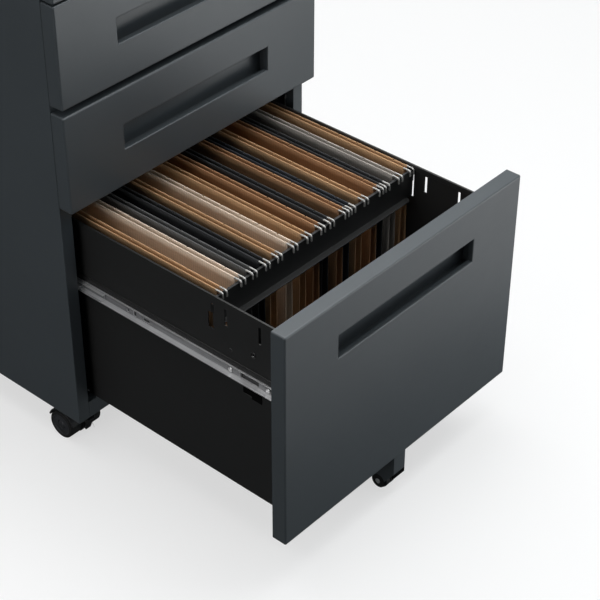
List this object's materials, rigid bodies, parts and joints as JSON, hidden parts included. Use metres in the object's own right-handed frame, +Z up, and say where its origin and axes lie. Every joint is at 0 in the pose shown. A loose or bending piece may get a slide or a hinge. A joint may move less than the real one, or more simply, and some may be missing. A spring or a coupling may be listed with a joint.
{
  "type": "filing cabinet",
  "caption": "Mobile steel filing pedestal on castors with box drawers over a file drawer of hanging folders that is drawn part way out on telescopic slides.",
  "frame": {"origin": "on the floor, at the middle of the whole footprint with the file drawer drawn out as at rest", "axes": "+X to the cabinet's right as seen from its front, +Y from the drawer fronts to the back, +Z up"},
  "size_m": [0.39, 0.8806, 0.612],
  "materials": {
    "body_paint": "fine satin powder coat, dark slate grey",
    "drawer_steel": "satin black coated sheet steel",
    "slide_steel": "zinc plated sheet steel",
    "fastener_steel": "bright plated steel",
    "castor_plastic": "moulded black nylon",
    "wheel_plastic": "moulded dark grey nylon",
    "folder_card": "uncoated card in tan, cream, grey and charcoal",
    "hook_wire": "bright plated steel strip",
    "lock_metal": "polished plated zinc"
  },
  "bodies": {
    "carcass": {"side_panel_left": "body_paint", "side_panel_right": "body_paint", "back_panel": "body_paint", "top_panel": "body_paint", "top_fascia": "body_paint", "base_pan": "body_paint", "slide_posts": "body_paint", "castor_plates": "fastener_steel", "lock_housing": "lock_metal", "file_slide_channels": "slide_steel", "middle_slide_channels": "slide_steel", "upper_slide_channels": "slide_steel"},
    "file_drawer": {"file_front_skin": "body_paint", "file_front_liner": "body_paint", "file_handle_cup": "body_paint", "file_side_left": "drawer_steel", "file_side_right": "drawer_steel", "file_pan": "drawer_steel", "file_slide_rails": "slide_steel", "file_slide_screws": "fastener_steel", "hanger_rails": "drawer_steel", "folder_cards": "folder_card", "folder_hooks": "hook_wire", "tip_castor_bracket": "body_paint", "tip_castor_axle": "fastener_steel"},
    "file_runners": {"file_slide_runners": "slide_steel"},
    "tip_wheel": {"tip_castor_wheel": "wheel_plastic"},
    "middle_drawer": {"middle_front_skin": "body_paint", "middle_front_liner": "body_paint", "middle_handle_cup": "body_paint", "middle_sides": "drawer_steel", "middle_pan": "drawer_steel", "middle_slide_rails": "slide_steel", "middle_slide_screws": "fastener_steel"},
    "middle_runners": {"middle_slide_runners": "slide_steel"},
    "upper_drawer": {"upper_front_skin": "body_paint", "upper_front_liner": "body_paint", "upper_handle_cup": "body_paint", "upper_sides": "drawer_steel", "upper_pan": "drawer_steel", "upper_slide_rails": "slide_steel", "upper_slide_screws": "fastener_steel"},
    "upper_runners": {"upper_slide_runners": "slide_steel"},
    "lock": {"lock_plug": "lock_metal", "lock_cam": "slide_steel"},
    "lock_bar": {"locking_bar": "slide_steel"},
    "castor_front_left": {"castor_hood_front_left": "castor_plastic", "castor_axle_front_left": "fastener_steel"},
    "wheels_front_left": {"castor_wheels_front_left": "wheel_plastic"},
    "castor_front_right": {"castor_hood_front_right": "castor_plastic", "castor_axle_front_right": "fastener_steel"},
    "wheels_front_right": {"castor_wheels_front_right": "wheel_plastic"},
    "castor_rear_left": {"castor_hood_rear_left": "castor_plastic", "castor_axle_rear_left": "fastener_steel"},
    "wheels_rear_left": {"castor_wheels_rear_left": "wheel_plastic"},
    "castor_rear_right": {"castor_hood_rear_right": "castor_plastic", "castor_axle_rear_right": "fastener_steel"},
    "wheels_rear_right": {"castor_wheels_rear_right": "wheel_plastic"},
    "brake_front_left": {"brake_pedal_front_left": "castor_plastic"},
    "brake_front_right": {"brake_pedal_front_right": "castor_plastic"}
  },
  "joints": [
    {"name": "file_drawer_slide", "type": "slide", "parent": "carcass", "child": "file_drawer", "axis": [0, -1, 0], "range_m": [-0.301, 0.175]},
    {"name": "file_runner_slide", "type": "slide", "parent": "carcass", "child": "file_runners", "axis": [0, -1, 0], "range_m": [-0.1505, 0.0875]},
    {"name": "tip_wheel_spin", "type": "hinge", "parent": "file_drawer", "child": "tip_wheel", "pos_m": [0, -0.41725, 0.0105], "axis": [1, 0, 0], "continuous": true},
    {"name": "middle_drawer_slide", "type": "slide", "parent": "carcass", "child": "middle_drawer", "axis": [0, -1, 0], "range_m": [0, 0.476]},
    {"name": "middle_runner_slide", "type": "slide", "parent": "carcass", "child": "middle_runners", "axis": [0, -1, 0], "range_m": [0, 0.238]},
    {"name": "upper_drawer_slide", "type": "slide", "parent": "carcass", "child": "upper_drawer", "axis": [0, -1, 0], "range_m": [0, 0.476]},
    {"name": "upper_runner_slide", "type": "slide", "parent": "carcass", "child": "upper_runners", "axis": [0, -1, 0], "range_m": [0, 0.238]},
    {"name": "lock_turn", "type": "hinge", "parent": "carcass", "child": "lock", "pos_m": [0.15, -0.11975, 0.602], "axis": [0, 1, 0], "range_deg": [0, 90]},
    {"name": "lock_bar_slide", "type": "slide", "parent": "carcass", "child": "lock_bar", "axis": [0, 0, -1], "range_m": [0, 0.008]},
    {"name": "castor_swivel_front_left", "type": "hinge", "parent": "carcass", "child": "castor_front_left", "pos_m": [-0.167, -0.09575, 0.0425], "axis": [0, 0, 1], "continuous": true},
    {"name": "wheel_spin_front_left", "type": "hinge", "parent": "castor_front_left", "child": "wheels_front_left", "pos_m": [-0.167, -0.07975, 0.018], "axis": [1, 0, 0], "continuous": true},
    {"name": "castor_swivel_front_right", "type": "hinge", "parent": "carcass", "child": "castor_front_right", "pos_m": [0.167, -0.09575, 0.0425], "axis": [0, 0, 1], "continuous": true},
    {"name": "wheel_spin_front_right", "type": "hinge", "parent": "castor_front_right", "child": "wheels_front_right", "pos_m": [0.167, -0.07975, 0.018], "axis": [1, 0, 0], "continuous": true},
    {"name": "castor_swivel_rear_left", "type": "hinge", "parent": "carcass", "child": "castor_rear_left", "pos_m": [-0.167, 0.40025, 0.0425], "axis": [0, 0, 1], "continuous": true},
    {"name": "wheel_spin_rear_left", "type": "hinge", "parent": "castor_rear_left", "child": "wheels_rear_left", "pos_m": [-0.167, 0.41625, 0.018], "axis": [1, 0, 0], "continuous": true},
    {"name": "castor_swivel_rear_right", "type": "hinge", "parent": "carcass", "child": "castor_rear_right", "pos_m": [0.167, 0.40025, 0.0425], "axis": [0, 0, 1], "continuous": true},
    {"name": "wheel_spin_rear_right", "type": "hinge", "parent": "castor_rear_right", "child": "wheels_rear_right", "pos_m": [0.167, 0.41625, 0.018], "axis": [1, 0, 0], "continuous": true},
    {"name": "brake_pedal_front_left", "type": "hinge", "parent": "castor_front_left", "child": "brake_front_left", "pos_m": [-0.167, -0.10425, 0.0265], "axis": [1, 0, 0], "range_deg": [-15, 0]},
    {"name": "brake_pedal_front_right", "type": "hinge", "parent": "castor_front_right", "child": "brake_front_right", "pos_m": [0.167, -0.10425, 0.0265], "axis": [1, 0, 0], "range_deg": [-15, 0]}
  ],
  "couplings": [
    {"joint": "file_runner_slide", "follows": "file_drawer_slide", "ratio": 0.5},
    {"joint": "middle_runner_slide", "follows": "middle_drawer_slide", "ratio": 0.5},
    {"joint": "upper_runner_slide", "follows": "upper_drawer_slide", "ratio": 0.5},
    {"joint": "lock_bar_slide", "follows": "lock_turn", "m_per_rad": 0.00509}
  ]
}
